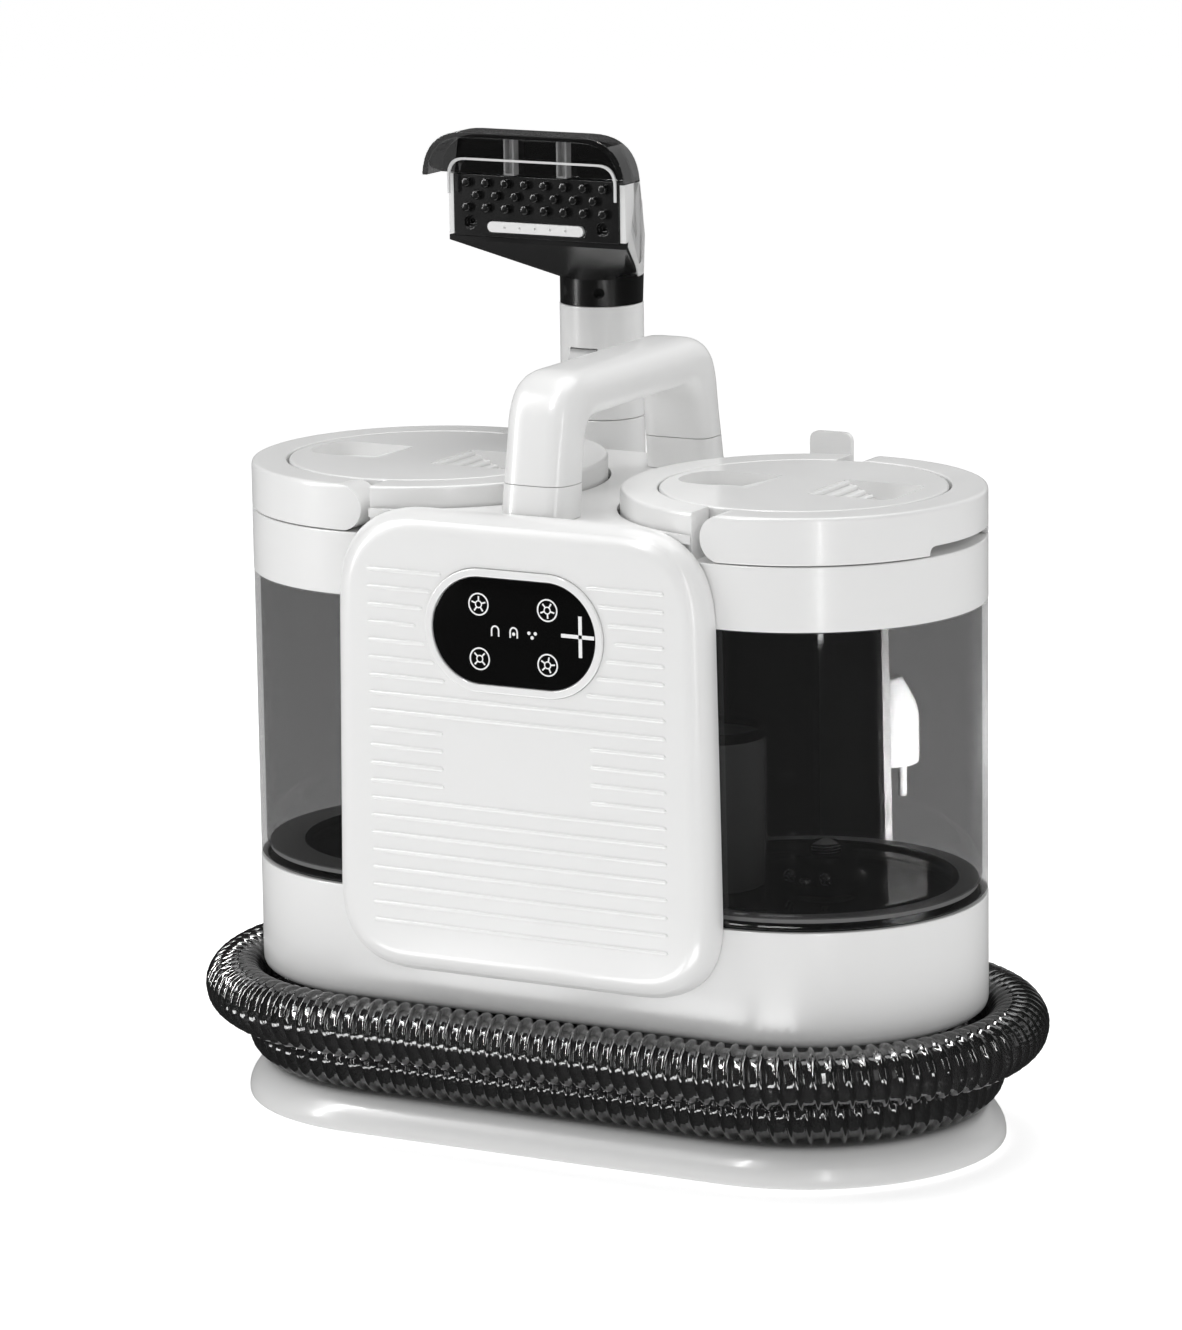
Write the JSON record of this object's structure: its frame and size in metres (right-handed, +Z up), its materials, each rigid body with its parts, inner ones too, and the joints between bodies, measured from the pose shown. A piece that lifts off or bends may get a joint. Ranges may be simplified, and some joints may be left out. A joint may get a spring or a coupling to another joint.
{
  "type": "carpet cleaner machine",
  "caption": "Portable carpet and upholstery cleaner with smoked water tanks, carry handle, wound suction hose and a hand tool clipped behind.",
  "frame": {"origin": "on the floor plane, under the middle of the box that holds the machine and its hand tool, with the hose and power cord left out", "axes": "+Z up; -Y is the front with the control panel; +X is the viewer's right when facing the front"},
  "size_m": [0.4597, 0.291, 0.5],
  "materials": {
    "white_plastic": "satin moulded",
    "black_plastic": "satin moulded",
    "grey_plastic": "moulded",
    "smoked_clear": "clear smoked polycarbonate",
    "black_gloss": "polished touch panel",
    "hose_black": "ribbed spiral hose",
    "rubber": "soft moulded",
    "cord_white": "smooth cable jacket",
    "pin_steel": "turned",
    "cast_metal": "cast motor body",
    "circuit_board": "bare board"
  },
  "bodies": {
    "machine": {"base_tray": "white_plastic", "foot_front_left": "rubber", "foot_front_right": "rubber", "foot_rear_left": "rubber", "foot_rear_right": "rubber", "groove_core": "grey_plastic", "hose_connector": "black_plastic", "lower_housing": "white_plastic", "housing_lid": "black_plastic", "seat_ring_right": "rubber", "seat_ring_left": "rubber", "vacuum_motor": "cast_metal", "fan_housing": "black_plastic", "water_pump": "black_plastic", "centre_column": "black_plastic", "deck_cover": "white_plastic", "rear_cover": "white_plastic", "front_panel": "white_plastic", "control_bezel": "white_plastic", "control_glass": "black_gloss", "control_board": "circuit_board", "handle_shell": "white_plastic", "handle_core": "white_plastic", "cord_hook_upper": "white_plastic", "cord_hook_lower": "white_plastic", "tool_clip": "white_plastic", "hose_tube": "hose_black", "cord_hank": "cord_white", "cord_lead": "cord_white", "cord_tail": "cord_white", "cord_gland": "cord_white", "mains_plug": "white_plastic"},
    "impeller": {"fan_impeller": "grey_plastic"},
    "right_tank": {"tank_right_glass": "smoked_clear", "tank_right_collar": "white_plastic", "tank_right_pin_front": "pin_steel", "tank_right_pin_rear": "pin_steel", "valve_body": "black_plastic", "inner_cup": "grey_plastic"},
    "right_bail": {"tank_right_bail": "white_plastic"},
    "right_cap": {"tank_right_cap": "white_plastic", "tank_right_gasket": "rubber"},
    "plunger": {"valve_plunger": "pin_steel"},
    "left_tank": {"tank_left_glass": "smoked_clear", "tank_left_collar": "white_plastic", "tank_left_pin_front": "pin_steel", "tank_left_pin_rear": "pin_steel", "standpipe": "grey_plastic"},
    "left_bail": {"tank_left_bail": "white_plastic"},
    "left_cap": {"tank_left_cap": "white_plastic", "tank_left_gasket": "rubber"},
    "float": {"float_ring": "white_plastic"},
    "hand_tool": {"tool_tube": "white_plastic", "tool_cuff": "white_plastic", "tool_shell": "white_plastic", "tool_neck": "black_plastic", "tool_face": "black_plastic", "tool_spray_bar": "white_plastic", "tool_lip": "smoked_clear"},
    "trigger": {"tool_trigger": "black_plastic"}
  },
  "joints": [
    {"name": "impeller_spin", "type": "hinge", "parent": "machine", "child": "impeller", "pos_m": [-0.032, -0.02235, 0.11], "axis": [0, 0, 1], "continuous": true},
    {"name": "right_tank_lift", "type": "slide", "parent": "machine", "child": "right_tank", "axis": [0, 0, 1], "range_m": [0, 0.035]},
    {"name": "right_bail_turn", "type": "hinge", "parent": "right_tank", "child": "right_bail", "pos_m": [0.1075, -0.02235, 0.326], "axis": [0, -1, 0], "range_deg": [0, 90]},
    {"name": "right_cap_twist", "type": "hinge", "parent": "right_tank", "child": "right_cap", "pos_m": [0.1075, -0.02235, 0.33], "axis": [0, 0, 1], "range_deg": [0, 45]},
    {"name": "valve_press", "type": "slide", "parent": "right_tank", "child": "plunger", "axis": [0, 0, 1], "range_m": [0, 0.004], "stiffness_N_per_m": 80},
    {"name": "left_tank_lift", "type": "slide", "parent": "machine", "child": "left_tank", "axis": [0, 0, 1], "range_m": [0, 0.035]},
    {"name": "left_bail_turn", "type": "hinge", "parent": "left_tank", "child": "left_bail", "pos_m": [-0.1075, -0.02235, 0.326], "axis": [0, 1, 0], "range_deg": [0, 90]},
    {"name": "left_cap_twist", "type": "hinge", "parent": "left_tank", "child": "left_cap", "pos_m": [-0.1075, -0.02235, 0.33], "axis": [0, 0, 1], "range_deg": [0, 45]},
    {"name": "float_rise", "type": "slide", "parent": "left_tank", "child": "float", "axis": [0, 0, 1], "range_m": [0, 0.1]},
    {"name": "tool_lift", "type": "slide", "parent": "machine", "child": "hand_tool", "axis": [0, 0, 1], "range_m": [0, 0.08]},
    {"name": "trigger_pull", "type": "hinge", "parent": "hand_tool", "child": "trigger", "pos_m": [-0.076, 0.08765, 0.377], "axis": [1, 0, 0], "range_deg": [0, 6], "stiffness_Nm_per_rad": 0.3}
  ]
}
